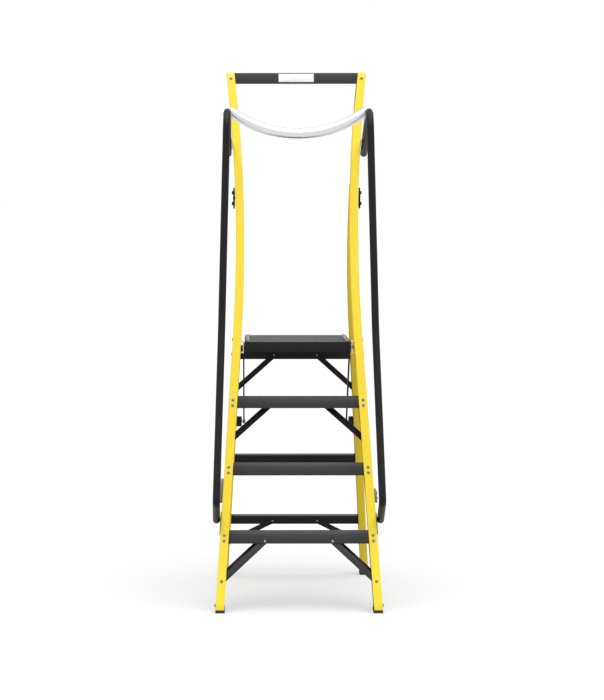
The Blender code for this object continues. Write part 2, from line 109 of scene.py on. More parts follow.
def polish(finish, grain, low, high):
    nodes = finish.node_tree.nodes
    links = finish.node_tree.links
    spread = nodes.new("ShaderNodeMapRange")
    spread.inputs["From Min"].default_value = grainSpan[0]
    spread.inputs["From Max"].default_value = grainSpan[1]
    spread.inputs["To Min"].default_value = low
    spread.inputs["To Max"].default_value = high
    links.new(grain, spread.inputs["Value"])
    links.new(spread.outputs["Result"], nodes["Principled BSDF"].inputs["Roughness"])


def emboss(finish, grain, strength, height):
    nodes = finish.node_tree.nodes
    links = finish.node_tree.links
    bump = nodes.new("ShaderNodeBump")
    bump.inputs["Strength"].default_value = strength
    bump.inputs["Distance"].default_value = height
    links.new(grain, bump.inputs["Height"])
    links.new(bump.outputs["Normal"], nodes["Principled BSDF"].inputs["Normal"])


glassFibre = {"dark": (0.97, 0.725, 0.043), "light": (1.0, 0.775, 0.055), "matte": (0.36, 0.48),
              "shine": 0.25, "rovings": ((260, 260, 5), 1, 4), "weave": ((1600, 1600, 90), 1, 2),
              "bump": (0.12, 0.0003)}


def makeGlassFibre():
    finish = newFinish("yellowGlassFibre", 0, glassFibre["shine"])
    rovings = addGrain(finish, *glassFibre["rovings"])  # they run up the channel
    weave = addGrain(finish, *glassFibre["weave"])
    tint(finish, rovings, glassFibre["dark"], glassFibre["light"])
    polish(finish, rovings, *glassFibre["matte"])
    emboss(finish, weave, *glassFibre["bump"])
    return finish


coats = {
    "dark_grey_coat": {"dark": (0.029, 0.029, 0.030), "light": (0.032, 0.032, 0.033), "matte": (0.40, 0.45),
                       "shine": 0.25},
    "black_coat": {"dark": (0.012, 0.012, 0.0125), "light": (0.014, 0.014, 0.0145), "matte": (0.40, 0.46),
                   "shine": 0.15},
}
coatGrain = {"mottle": (even, 160, 4), "peel": (even, 900, 2), "bump": (0.04, 0.0002)}


def makeCoat(name):
    coat = coats[name]
    finish = newFinish(name, 0, coat["shine"])
    mottle = addGrain(finish, *coatGrain["mottle"])
    peel = addGrain(finish, *coatGrain["peel"])  # orange peel of a powder coat, about 1 mm
    tint(finish, mottle, coat["dark"], coat["light"])
    polish(finish, mottle, *coat["matte"])
    emboss(finish, peel, *coatGrain["bump"])
    return finish


platings = {
    "zinc_plate": {"dark": (0.58, 0.60, 0.62), "light": (0.72, 0.74, 0.76), "matte": (0.28, 0.42)},
    # dull_steel is the zinc plating made darker and a little rougher
    "dull_steel": {"dark": (0.15, 0.165, 0.18), "light": (0.20, 0.22, 0.24), "matte": (0.34, 0.48)},
}
platingGrain = {"bloom": (even, 320, 4), "bump": (0.05, 0.0003)}


def makePlating(name):
    plating = platings[name]
    finish = newFinish(name, 1)
    bloom = addGrain(finish, *platingGrain["bloom"])
    tint(finish, bloom, plating["dark"], plating["light"])
    polish(finish, bloom, *plating["matte"])
    emboss(finish, bloom, *platingGrain["bump"])
    return finish


satinTube = {"dark": (0.66, 0.67, 0.69), "light": (0.71, 0.72, 0.74), "matte": (0.27, 0.33),
             "bowCentreZ": 2.2359, "lines": 700, "bump": (0.02, 0.0001)}


def addDrawLines(finish, centreZ, size):
    # noise over the distance from the centre of the bow, so that its lines run along the bowed tube
    nodes = finish.node_tree.nodes
    links = finish.node_tree.links
    place = nodes.new("ShaderNodeTexCoord")
    centred = nodes.new("ShaderNodeMapping")
    centred.inputs["Location"].default_value = (0, 0, -centreZ)
    centred.inputs["Scale"].default_value = (1, 0, 1)
    reach = nodes.new("ShaderNodeVectorMath")
    reach.operation = "LENGTH"
    split = nodes.new("ShaderNodeSeparateXYZ")
    across = nodes.new("ShaderNodeCombineXYZ")
    noise = nodes.new("ShaderNodeTexNoise")
    noise.inputs["Scale"].default_value = size
    links.new(place.outputs["Object"], centred.inputs["Vector"])
    links.new(centred.outputs["Vector"], reach.inputs[0])
    links.new(place.outputs["Object"], split.inputs["Vector"])
    links.new(reach.outputs["Value"], across.inputs["X"])
    links.new(split.outputs["Y"], across.inputs["Y"])
    links.new(across.outputs["Vector"], noise.inputs["Vector"])
    return noise.outputs["Fac"]


def makeSatinTube():
    finish = newFinish("satinAluminium", 1)
    drawn = addDrawLines(finish, satinTube["bowCentreZ"], satinTube["lines"])
    tint(finish, drawn, satinTube["dark"], satinTube["light"])
    polish(finish, drawn, *satinTube["matte"])
    emboss(finish, drawn, *satinTube["bump"])
    return finish


rubber = {"dark": (0.010, 0.010, 0.010), "light": (0.024, 0.024, 0.023), "matte": (0.62, 0.85),
          "dust": (even, 130, 5), "pores": (even, 1400, 2), "bump": (0.25, 0.0003)}


def makeRubber():
    finish = newFinish("blackRubber", 0)
    dust = addGrain(finish, *rubber["dust"])
    pores = addGrain(finish, *rubber["pores"])
    tint(finish, dust, rubber["dark"], rubber["light"])
    polish(finish, dust, *rubber["matte"])
    emboss(finish, pores, *rubber["bump"])
    return finish


labelFilm = {"dark": (0.83, 0.83, 0.82), "light": (0.86, 0.86, 0.86), "matte": (0.36, 0.42),
             "film": (even, 240, 3), "bump": (0.01, 0.0001)}


def makeLabelFilm():
    finish = newFinish("labelFilm", 0)
    film = addGrain(finish, *labelFilm["film"])
    tint(finish, film, labelFilm["dark"], labelFilm["light"])
    polish(finish, film, *labelFilm["matte"])
    emboss(finish, film, *labelFilm["bump"])
    return finish


finishes = {
    "yellow_glass_fibre": makeGlassFibre(),
    "dark_grey_coat": makeCoat("dark_grey_coat"),
    "black_coat": makeCoat("black_coat"),
    "zinc_plate": makePlating("zinc_plate"),
    "dull_steel": makePlating("dull_steel"),
    "satin_aluminium": makeSatinTube(),
    "black_rubber": makeRubber(),
}
for name, node in frame["nodes"].items():
    node.data.materials.clear()
    node.data.materials.append(finishes[slotOf[name]])
print("finishes made:", len(finishes))


# bench tools

# angles, then distances, then how far a normal has to point one way
bench = {"crisp": math.radians(32), "smooth": math.radians(38), "flat": math.radians(1),
         "weld": 0.00002, "near": 0.0001, "facing": 0.5, "deadLevel": 0.99}


def clearSelection():
    if bpy.context.object and bpy.context.object.mode == "EDIT":
        bpy.ops.object.mode_set(mode="OBJECT")
    bpy.ops.object.select_all(action="DESELECT")


def choose(*pieces):
    clearSelection()
    for piece in pieces:
        piece.select_set(True)
    bpy.context.view_layer.objects.active = pieces[0]


def applyPlace(piece):
    # moves place, turn and size into the mesh
    choose(piece)
    bpy.ops.object.transform_apply(location=True, rotation=True, scale=True)


def settle(name):
    # names the new primitive, with its place and size in its mesh
    piece = bpy.context.object
    piece.name = name
    applyPlace(piece)
    return piece


def addBox(name, low, high):
    clearSelection()
    bpy.ops.mesh.primitive_cube_add(size=1, location=[(a + b) / 2 for a, b in zip(low, high)])
    bpy.context.object.scale = [b - a for a, b in zip(low, high)]
    return settle(name)


def pick(piece, kind, test):
    # edit mode, with the vertices, edges or faces that pass the test selected
    choose(piece)
    bpy.ops.object.mode_set(mode="EDIT")
    bpy.ops.mesh.select_mode(type=kind)
    bpy.ops.mesh.select_all(action="DESELECT")
    shape = bmesh.from_edit_mesh(piece.data)
    for item in {"VERT": shape.verts, "EDGE": shape.edges, "FACE": shape.faces}[kind]:
        item.select_set(test(item))
    shape.select_flush_mode()
    bmesh.update_edit_mesh(piece.data)


def everything(item):
    return True


def span(edge, axis):
    # how far the edge reaches along X, Y or Z, given as 0, 1 or 2
    return abs(edge.verts[0].co[axis] - edge.verts[1].co[axis])


def weld(piece):
    # merges corners that lie together, and stays in edit mode
    pick(piece, "FACE", everything)
    bpy.ops.mesh.remove_doubles(threshold=bench["weld"])


def applyModifier(piece, kind, **settings):
    choose(piece)
    made = piece.modifiers.new(kind, kind)
    for key, value in settings.items():
        setattr(made, key, value)
    bpy.ops.object.modifier_apply(modifier=made.name)


def shadeSmooth(piece):
    # smooth, apart from the edges that stay crisp
    choose(piece)
    bpy.ops.object.shade_smooth_by_angle(angle=bench["smooth"])


def roundOff(piece, width, segments=2):
    # rounds every crisp edge
    applyModifier(piece, "BEVEL", width=width, segments=segments, limit_method="ANGLE",
                  angle_limit=bench["crisp"], harden_normals=False)
    shadeSmooth(piece)


def faceOut(piece):
    pick(piece, "FACE", everything)
    bpy.ops.mesh.normals_make_consistent(inside=False)
    clearSelection()


def copyPiece(piece, name):
    choose(piece)
    bpy.ops.object.duplicate()
    bpy.context.object.name = name
    return bpy.context.object


def mirrorPiece(piece, name):
    twin = copyPiece(piece, name)
    twin.scale.x = -1
    applyPlace(twin)
    faceOut(twin)
    return twin


def attach(piece, body, slotName):
    piece.data.materials.clear()
    piece.data.materials.append(finishes[slotName])
    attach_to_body(piece, body)


def standFor(piece, node):
    # takes over the place, body and finish of the frame node
    attach(piece, frame["nodes"][node]["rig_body"], slotOf[node])
    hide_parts(node)


def standForPair(piece, node):
    # the piece is the right one; its mirror image is the left one
    twin = mirrorPiece(piece, f"{node}_left_fine")
    piece.name = f"{node}_right_fine"
    standFor(piece, f"{node}_right")
    standFor(twin, f"{node}_left")


def soften(node, width, segments=3):
    # the frame node's own form, welded, with rounded edges
    piece = bpy.data.objects.new(f"{node}_fine", frame["nodes"][node].data.copy())
    bpy.context.collection.objects.link(piece)
    weld(piece)
    bpy.ops.mesh.dissolve_limited(angle_limit=bench["flat"])
    clearSelection()
    roundOff(piece, width, segments)
    standFor(piece, node)


def addRibs(piece, level, count, height, margin):
    # splits the flat face at this level into strips along X and raises every second one
    def isField(face):
        offLevel = abs(face.calc_center_median().z - level)
        return abs(face.normal.z) > bench["deadLevel"] and offLevel < bench["near"]

    pick(piece, "FACE", isField)
    bpy.ops.mesh.inset(thickness=margin)
    shape = bmesh.from_edit_mesh(piece.data)
    field = [face for face in shape.faces if face.select][0]
    front = min(corner.co.y for corner in field.verts)
    back = max(corner.co.y for corner in field.verts)
    outward = math.copysign(height, field.normal.z)
    corners = {corner.index for corner in field.verts}
    pick(piece, "EDGE", lambda edge: all(end.index in corners for end in edge.verts)
         and span(edge, 1) > margin)
    bpy.ops.mesh.subdivide(number_cuts=2 * count)
    pitch = (back - front) / (2 * count + 1)
    pick(piece, "FACE", lambda face: isField(face)
         and math.floor((face.calc_center_median().y - front) / pitch) in range(1, 2 * count, 2))
    bpy.ops.mesh.extrude_region_move(TRANSFORM_OT_translate={"value": (0, 0, outward)})
    clearSelection()


# uprights: glass-fibre channels that lean in side view and taper in front view

frontStile = {"floorY": -0.45857, "lean": 0.307, "depth": 0.082, "halfWidth": 0.3155, "taper": 0.0640,
              "flareFrom": 1.02, "flareRadius": 5.7, "flange": 0.0325, "wall": 0.004,
              "bottom": 0.0123, "top": 2.05, "cuts": 80, "corner": 0.003, "cornerSteps": 4, "edge": 0.0007}
rearLeg = dict(frontStile, floorY=0.42443, lean=-0.179, depth=0.075, halfWidth=0.3050, taper=0.0575,
               flange=0.030, top=1.61, cuts=64)
fitGap = 0.0003


def outerX(upright, z):
    rise = max(0, z - upright["flareFrom"])
    return upright["halfWidth"] - upright["taper"] * z + rise * rise / (2 * upright["flareRadius"])


def innerX(upright, z):
    return outerX(upright, z) - upright["wall"] - fitGap


def faceY(upright, z, depth=0):
    return upright["floorY"] + upright["lean"] * z + depth * math.hypot(1, upright["lean"])


def makeUpright(name, upright):
    outside = upright["halfWidth"]
    deep = upright["depth"] * math.hypot(1, upright["lean"])
    bottom, top = upright["bottom"], upright["top"]
    piece = addBox(name, (outside - upright["flange"], 0, bottom), (outside, deep, top))
    pick(piece, "EDGE", lambda edge: span(edge, 2) > bench["near"])
    bpy.ops.mesh.subdivide(number_cuts=upright["cuts"])
    pick(piece, "FACE", lambda face: face.normal.x < -bench["facing"] or abs(face.normal.z) > bench["facing"])
    bpy.ops.mesh.delete(type="FACE")  # open along the inside and at both ends
    pick(piece, "EDGE", lambda edge: min(end.co.x for end in edge.verts) > outside - bench["near"]
         and span(edge, 2) > bench["near"])
    bpy.ops.mesh.bevel(offset=upright["corner"], segments=upright["cornerSteps"], affect="EDGES")
    step = (top - bottom) / (upright["cuts"] + 1)
    for ring in range(upright["cuts"] + 2):
        z = bottom + ring * step
        pick(piece, "VERT", lambda corner: abs(corner.co.z - z) < step / 2)
        bpy.ops.transform.translate(value=(outerX(upright, z) - outside, faceY(upright, z), 0))
    clearSelection()
    applyModifier(piece, "SOLIDIFY", thickness=upright["wall"], offset=-1, use_even_offset=True)
    roundOff(piece, upright["edge"])
    return piece


standForPair(makeUpright("frontStile", frontStile), "front_stile")
standForPair(makeUpright("rearLeg", rearLeg), "rear_leg")
print("uprights made")


# cross bars: folded sheet, open below

tread = {"tops": (0.293, 0.543, 0.793), "skirt": 0.040, "sheet": 0.0025, "corner": 0.004, "cornerSteps": 4,
         "edge": 0.0004, "ribs": 11, "ribHeight": 0.0005, "ribMargin": 0.003}
topBar = dict(tread, skirt=0.0405, ribs=0, ribHeight=0, corner=0.0025)
rearBar = dict(tread, ribs=0, ribHeight=0, corner=0.003, setback=0.0033,
               places={"top": (0.9597, 0.0543), "middle": (0.5078, 0.0378), "lower": (0.2510, 0.0335)})


def makeCrossBar(name, upright, bar, top, skirt):
    front = upright["wall"] + fitGap + bar.get("setback", 0)
    back = upright["depth"] - upright["wall"] - fitGap
    level = top - bar["ribHeight"]
    bottom = top - skirt
    reach = innerX(upright, top)
    piece = addBox(name, (-reach, faceY(upright, level, front), bottom),
                   (reach, faceY(upright, level, back), level))
    for side in (-1, 1):
        pick(piece, "VERT", lambda corner: corner.co.x * side > 0 and corner.co.z < (bottom + level) / 2)
        bpy.ops.transform.translate(value=(side * (innerX(upright, bottom) - reach),
                                           upright["lean"] * (bottom - level), 0))
    pick(piece, "FACE", lambda face: face.normal.z < -bench["facing"] or abs(face.normal.x) > bench["facing"])
    bpy.ops.mesh.delete(type="FACE")
    pick(piece, "EDGE", lambda edge: min(end.co.z for end in edge.verts) > level - bench["near"]
         and span(edge, 0) > bench["near"])
    bpy.ops.mesh.bevel(offset=bar["corner"], segments=bar["cornerSteps"], affect="EDGES")
    clearSelection()
    applyModifier(piece, "SOLIDIFY", thickness=bar["sheet"], offset=-1, use_even_offset=True)
    if bar["ribs"]:
        addRibs(piece, level, bar["ribs"], bar["ribHeight"], bar["ribMargin"])
    roundOff(piece, bar["edge"])
    return piece


for number, top in enumerate(tread["tops"], 1):
    standFor(makeCrossBar(f"tread_{number}_fine", frontStile, tread, top, tread["skirt"]), f"tread_{number}")
standFor(makeCrossBar("top_bar_fine", frontStile, topBar, frontStile["top"], topBar["skirt"]), "top_bar")
for word, (top, skirt) in rearBar["places"].items():
    standFor(makeCrossBar(f"rear_bar_{word}_fine", rearLeg, rearBar, top, skirt), f"rear_bar_{word}")
print("treads and bars made")


# platform

platform = {"top": 1.002, "height": 0.0372, "setback": 0.3178, "depth": 0.4372, "halfWidth": 0.2050,
            "sheet": 0.0025, "corner": 0.0012, "cornerSteps": 3, "edge": 0.0004, "lipEdge": 0.0008,
            "ribs": 32, "ribHeight": 0.00025, "ribMargin": 0.0195}


def makePlatform(name):
    level = platform["top"] - platform["ribHeight"]
    base = platform["top"] - platform["height"]
    half = platform["halfWidth"]
    front = frontStile["floorY"] + platform["setback"]
    back = front + platform["depth"]
    piece = addBox(name, (-half, front, base), (half, back, level))
    pick(piece, "FACE", lambda face: face.normal.z < -bench["facing"])
    bpy.ops.mesh.delete(type="FACE")
    pick(piece, "EDGE", lambda edge: max(end.co.z for end in edge.verts) > level - bench["near"])
    bpy.ops.mesh.bevel(offset=platform["corner"], segments=platform["cornerSteps"], affect="EDGES")
    clearSelection()
    applyModifier(piece, "SOLIDIFY", thickness=platform["sheet"], offset=-1, use_even_offset=True)
    addRibs(piece, level, platform["ribs"], platform["ribHeight"], platform["ribMargin"])
    roundOff(piece, platform["edge"])
    return piece


standFor(makePlatform("platform_deck_fine"), "platform_deck")
soften("platform_lip", platform["lipEdge"])
print("platform made")


# handrails: bent tube

handrail = {"corners": ((0.2700, 0.665, 1.7330), (0.2700, 0.2014, 1.9127), (0.2914, 0.1520, 1.0600),
                        (0.3100, -0.0307, 0.4255), (0.3118, 0.1450, 0.3340)),
            "bends": (0.070, 0.350, 0.026), "radius": 0.0141, "bendStep": math.radians(4), "roundness": 14}


def bentPath(corners, bends, bendStep):
    path = [corners[0]]
    for before, corner, after, radius in zip(corners, corners[1:], corners[2:], bends):
        into = (corner - before).normalized()
        away = (after - corner).normalized()
        turn = into.angle(away)
        inward = (away - into * into.dot(away)).normalized()
        centre = corner - into * radius * math.tan(turn / 2) + inward * radius
        steps = math.ceil(turn / bendStep)
        for i in range(steps + 1):
            angle = turn * i / steps
            path.append(centre - inward * radius * math.cos(angle) + into * radius * math.sin(angle))
    path.append(corners[-1])
    return path


def makeTube(name, path, radius, roundness):
    line = bpy.data.curves.new(name, "CURVE")
    line.dimensions = "3D"
    line.bevel_depth = radius
    line.bevel_resolution = roundness
    line.use_fill_caps = True
    spline = line.splines.new("POLY")
    spline.points.add(len(path) - 1)
    for point, place in zip(spline.points, path):
        point.co = (*place, 1)
    piece = bpy.data.objects.new(name, line)
    bpy.context.collection.objects.link(piece)
    choose(piece)
    bpy.ops.object.convert(target="MESH")
    weld(piece)
    shadeSmooth(piece)
    return piece


railCorners = [Vector((x, frontStile["floorY"] + y, z)) for x, y, z in handrail["corners"]]
railPath = bentPath(railCorners, handrail["bends"], handrail["bendStep"])
standForPair(makeTube("handrail", railPath, handrail["radius"], handrail["roundness"]), "handrail")
print("handrails made")


# gate: tube bowed on a circle, cut square to X

gateLow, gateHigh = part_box("gate_bar")
capLow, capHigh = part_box("gate_cap_right")
gate = {"radius": 0.020, "bow": 0.435, "endX": 0.2497, "overrun": 0.05, "sides": 40, "steps": 96,
        "capEdge": 0.0015, "capEdgeSteps": 3}
gateY = (gateLow.y + gateHigh.y) / 2
gatePivotZ = (capLow.z + capHigh.z) / 2
gateCentreZ = gatePivotZ + math.sqrt(gate["bow"] ** 2 - gate["endX"] ** 2)


def makeGate(name):
    reach = math.asin(gate["endX"] / gate["bow"]) + gate["overrun"]  # past the ends, then cut back
    clearSelection()
    bpy.ops.mesh.primitive_circle_add(
        vertices=gate["sides"], radius=gate["radius"], fill_type="NOTHING",
        location=(-gate["bow"] * math.sin(reach), gateY, gateCentreZ - gate["bow"] * math.cos(reach)),
        rotation=(0, math.pi / 2 + reach, 0))
    piece = settle(name)
    pick(piece, "VERT", everything)
    bpy.ops.mesh.spin(steps=gate["steps"], angle=2 * reach, center=(0, gateY, gateCentreZ), axis=(0, 1, 0))
    for side in (-1, 1):
        pick(piece, "FACE", everything)
        bpy.ops.mesh.bisect(plane_co=(side * gate["endX"], 0, 0), plane_no=(side, 0, 0), use_fill=True,
                            clear_outer=True)
    faceOut(piece)
    shadeSmooth(piece)
    return piece


def makeGateCap(name):
    clearSelection()
    bpy.ops.mesh.primitive_cylinder_add(
        vertices=gate["sides"], radius=gate["radius"], depth=capHigh.x - capLow.x,
        location=(capLow + capHigh) / 2, rotation=(0, math.pi / 2, 0))
    bpy.context.object.scale.x = (capHigh.z - capLow.z) / (2 * gate["radius"])
    piece = settle(name)
    roundOff(piece, gate["capEdge"], gate["capEdgeSteps"])
    return piece


standFor(makeGate("gate_bar_fine"), "gate_bar")
standForPair(makeGateCap("gateCap"), "gate_cap")
print("gate made")


# feet: rubber block with a plug in the channel and a ridged sole

foot = {"pad": 0.012, "padWidth": 0.0352, "inset": 0.0005, "plugTop": 0.052, "plugReach": 0.002, "ridges": 7,
        "ridgeHeight": 0.0025, "margin": 0.003, "edge": 0.0011}


def makeFoot(name, upright):
    pad = foot["pad"]
    outside = upright["halfWidth"]
    inside = outside - upright["flange"] - foot["plugReach"]
    front, back = [faceY(upright, pad, depth) for depth in (foot["inset"], upright["depth"] - foot["inset"])]
    padSide = outside - foot["inset"]
    piece = addBox(name, (padSide - foot["padWidth"], front, foot["ridgeHeight"]), (padSide, back, pad))
    addRibs(piece, foot["ridgeHeight"], foot["ridges"], foot["ridgeHeight"], foot["margin"])
    front, back = [faceY(upright, pad, depth) for depth in (upright["wall"] + fitGap,
                                                            upright["depth"] - upright["wall"] - fitGap)]
    plug = addBox(f"{name}Plug", (inside, front, pad), (innerX(upright, pad), back, foot["plugTop"]))
    pick(plug, "VERT", lambda corner: corner.co.z > pad + bench["near"])
    bpy.ops.transform.translate(value=(0, upright["lean"] * (foot["plugTop"] - pad), 0))
    pick(plug, "VERT", lambda corner: corner.co.z > pad + bench["near"]
         and corner.co.x > inside + bench["near"])
    bpy.ops.transform.translate(value=(innerX(upright, foot["plugTop"]) - innerX(upright, pad), 0, 0))
    choose(piece, plug)
    bpy.ops.object.join()
    roundOff(piece, foot["edge"])
    return piece


standForPair(makeFoot("frontFoot", frontStile), "front_foot")
standForPair(makeFoot("rearFoot", rearLeg), "rear_foot")
print("feet made")


# plates, straps and blocks that keep the frame's own form

softEdges = {"lower_brace": 0.0008, "knee_brace": 0.0008, "rear_upper_brace": 0.0007,
             "rear_lower_brace": 0.0007, "handrail_spacer": 0.0015, "handrail_foot_plate": 0.0008,
             "handrail_stay": 0.0012, "hinge_plate": 0.0012, "platform_bracket": 0.0006,
             "platform_strip": 0.0017, "link": 0.0007, "link_block": 0.0015}
for word, width in softEdges.items():
    for side in ("left", "right"):
        soften(f"{word}_{side}", width)
print("plates and straps made")


# pins and bolts: a disc pulled along X and resized at each step

def makeTurned(name, centre, steps, sides=36):
    clearSelection()
    x, radius = steps[0]
    bpy.ops.mesh.primitive_circle_add(vertices=sides, radius=radius, fill_type="NGON",
                                      location=(x, centre.y, centre.z), rotation=(0, math.pi / 2, 0))
    piece = settle(name)
    pick(piece, "FACE", everything)
    for nextX, nextRadius in steps[1:]:
        bpy.ops.mesh.extrude_region_move(TRANSFORM_OT_translate={"value": (nextX - x, 0, 0)})
        share = nextRadius / radius
        bpy.ops.transform.resize(value=(1, share, share), center_override=(nextX, centre.y, centre.z))
        x, radius = nextX, nextRadius
    faceOut(piece)
    shadeSmooth(piece)
    return piece


pin = {"shank": 0.005, "head": 0.009, "headHeight": 0.005, "nut": 0.008, "linkShank": 0.004,
       "linkNut": 0.0075, "linkNutEnd": 0.006, "linkNutChamfer": 0.001, "linkWasher": 0.008,
       "rivetHead": 0.0075,
       "dome": ((0, 1), (0.35, 1), (0.62, 0.90), (0.83, 0.68), (0.96, 0.38), (1, 0.10))}


def headSteps(seat, radius, height):
    # domed head, from its seat outwards, by shares of its height and radius
    return [(seat + rise * height, share * radius) for rise, share in pin["dome"]]


def middleOf(node):
    low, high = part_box(node)
    return (low + high) / 2


def makePinPair(node, steps):
    standForPair(makeTurned(node, middleOf(f"{node}_right"), steps), node)


def makeHingePins():
    low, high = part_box("hinge_pin_right")
    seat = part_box("hinge_plate_right")[1].x + fitGap
    nutEnd = innerX(rearLeg, middleOf("hinge_pin_right").z) - fitGap
    steps = [(low.x, pin["nut"]), (nutEnd, pin["nut"]), (nutEnd, pin["shank"]), (seat, pin["shank"])]
    makePinPair("hinge_pin", steps + headSteps(seat, pin["head"], high.x - seat))


def makeHeadedPins(node):
    low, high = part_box(f"{node}_right")
    seat = high.x - pin["headHeight"]
    steps = [(low.x, pin["shank"]), (seat, pin["shank"])]
    makePinPair(node, steps + headSteps(seat, pin["head"], pin["headHeight"]))


def makeLinkPins():
    low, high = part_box("link_pin_right")
    linkLow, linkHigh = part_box("link_right")
    nutEnd = linkLow.x - fitGap
    washerStart = linkHigh.x + fitGap
    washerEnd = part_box("link_block_right")[0].x - fitGap
    steps = [(low.x, pin["linkNutEnd"]), (low.x + pin["linkNutChamfer"], pin["linkNut"]),
             (nutEnd, pin["linkNut"]), (nutEnd, pin["linkShank"]),
             (washerStart, pin["linkShank"]), (washerStart, pin["linkWasher"]),
             (washerEnd, pin["linkWasher"]), (washerEnd, pin["linkShank"]), (high.x, pin["linkShank"])]
    makePinPair("link_pin", steps)


def makeLinkRivets():
    low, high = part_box("link_rivet_right")
    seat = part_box("link_right")[1].x + fitGap
    steps = [(low.x, pin["linkShank"]), (seat, pin["linkShank"])]
    makePinPair("link_rivet", steps + headSteps(seat, pin["rivetHead"], high.x - seat))


makeHingePins()
makeHeadedPins("platform_pin")
makeHeadedPins("gate_pin")
makeLinkPins()
makeLinkRivets()
print("pins made")


# plug at the upper end of each handrail

endPlug = {"steps": ((0.0, 0.0141), (0.004, 0.0141), (0.008, 0.0115), (0.0105, 0.008), (0.012, 0.003))}


def layAlong(piece, place, direction):
    # turns a piece that was made along X from the origin and sets it on its place
    piece.rotation_mode = "QUATERNION"
    piece.rotation_quaternion = Vector((1, 0, 0)).rotation_difference(direction)
    piece.location = place
    applyPlace(piece)
    return piece


railPlug = makeTurned("handrailPlug", Vector((0, 0, 0)), endPlug["steps"])
standForPair(layAlong(railPlug, railPath[0], railPath[0] - railPath[1]), "handrail_plug")
print("handrail plugs made")


# rivets and bolts

rivet = {"radius": 0.0057, "height": 0.0033, "smallRadius": 0.0040, "smallHeight": 0.0020,
         "footRadius": 0.0065, "footHeight": 0.0060, "sides": 24,
         "treadDrops": (0.0088, 0.0291), "topDrop": 0.0217, "rearBarDrops": (0.28, 0.72)}
braceRivet = {"lowerFoot": 0.117, "lowerHead": (0.128, 0.260),
              "rearUpper": (0.086, 0.9226), "rearLower": (0.0915, 0.231)}
webRivet = {"bracket": ((1.009, 0.041), (0.953, 0.041)), "foot": ((0.023, 0.041),),
            "leftStay": ((0.464, 0.050), (0.417, 0.050)), "rightStay": ((0.4315, 0.050), (0.4135, 0.050))}
railScrew = {"places": ((0.560, 1.7737), (0.606, 1.7559)), "sink": 0.0006}
bolt = {"radius": 0.00675, "topRadius": 0.005625, "chamferFrom": 0.0044, "height": 0.0055, "sides": 6,
        "washer": 0.0095, "washerTop": 0.009025, "washerChamferFrom": 0.00096, "washerHeight": 0.0012,
        "washerSides": 32, "edge": 0.0004, "hingeDepth": 0.034, "hingeHeights": (1.534, 1.576)}


def makeRivet(name, radius, height):
    return makeTurned(name, Vector((0, 0, 0)), headSteps(0, radius, height), rivet["sides"])


def makeBolt(name):
    headProfile = [(bolt["washerHeight"], bolt["radius"]), (bolt["chamferFrom"], bolt["radius"]),
                   (bolt["height"], bolt["topRadius"])]
    washerProfile = [(0, bolt["washer"]), (bolt["washerChamferFrom"], bolt["washer"]),
                     (bolt["washerHeight"], bolt["washerTop"])]
    head = makeTurned(f"{name}Head", Vector((0, 0, 0)), headProfile, bolt["sides"])
    washer = makeTurned(name, Vector((0, 0, 0)), washerProfile, bolt["washerSides"])
    choose(washer, head)
    bpy.ops.object.join()
    roundOff(washer, bolt["edge"])
    return washer


def setOut(model, name, places, body, slotName):
    # one copy of the model on each (place, direction), joined into one piece
    copies = [layAlong(copyPiece(model, name), place, direction) for place, direction in places]
    choose(*copies)
    bpy.ops.object.join()
    copies[0].name = name
    attach(copies[0], body, slotName)


def frontNormal(upright):
    return Vector((0, -1, upright["lean"])).normalized()


def flangePlaces(upright, heights, back=False):
    # middle of both flanges at each height
    places = []
    for z in heights:
        for side in (-1, 1):
            x = side * (outerX(upright, z) - upright["flange"] / 2)
            depth = upright["depth"] if back else 0
            normal = -frontNormal(upright) if back else frontNormal(upright)
            places.append((Vector((x, faceY(upright, z, depth), z)), normal))
    return places


def facePlaces(upright, x, z, depth):
    # both sides of the frame, on a face at this depth
    return [(Vector((side * x, faceY(upright, z, depth), z)), frontNormal(upright)) for side in (-1, 1)]


def webPlaces(spots, standOff=0, sides=(-1, 1)):
    # heads on the outer face of the front stiles, or on a plate that stands off it
    places = []
    for z, depth in spots:
        x = outerX(frontStile, z) + standOff
        for side in sides:
            places.append((Vector((side * x, faceY(frontStile, z, depth), z)), Vector((side, 0, 0))))
    return places


def sideways(spots):
    # both sides of the frame, facing out along X
    return [(Vector((side * x, y, z)), Vector((side, 0, 0))) for x, y, z in spots for side in (-1, 1)]


rivetModel = makeRivet("rivetModel", rivet["radius"], rivet["height"])
smallModel = makeRivet("smallModel", rivet["smallRadius"], rivet["smallHeight"])
footModel = makeRivet("footModel", rivet["footRadius"], rivet["footHeight"])
boltModel = makeBolt("boltModel")

treadHeights = [top - drop for top in tread["tops"] for drop in rivet["treadDrops"]]
setOut(rivetModel, "tread_rivets", flangePlaces(frontStile, treadHeights)
       + flangePlaces(frontStile, treadHeights, back=True), "front_frame", "dull_steel")
topHeights = [frontStile["top"] - rivet["topDrop"]]
setOut(rivetModel, "top_bar_rivets", flangePlaces(frontStile, topHeights)
       + flangePlaces(frontStile, topHeights, back=True), "front_frame", "dull_steel")
setOut(rivetModel, "lower_brace_rivets", flangePlaces(frontStile, [braceRivet["lowerFoot"]])
       + facePlaces(frontStile, *braceRivet["lowerHead"], frontStile["wall"] + fitGap),
       "front_frame", "dull_steel")
rearHeights = [top - share * skirt for top, skirt in rearBar["places"].values()
               for share in rivet["rearBarDrops"]]
setOut(rivetModel, "rear_bar_rivets", flangePlaces(rearLeg, rearHeights, back=True),
       "rear_frame", "dull_steel")
strapDepth = rearLeg["wall"] + fitGap
setOut(smallModel, "rear_brace_rivets", facePlaces(rearLeg, *braceRivet["rearUpper"], strapDepth)
       + facePlaces(rearLeg, *braceRivet["rearLower"], strapDepth), "rear_frame", "dull_steel")
setOut(rivetModel, "platform_bracket_rivets", webPlaces(webRivet["bracket"]), "front_frame", "dull_steel")
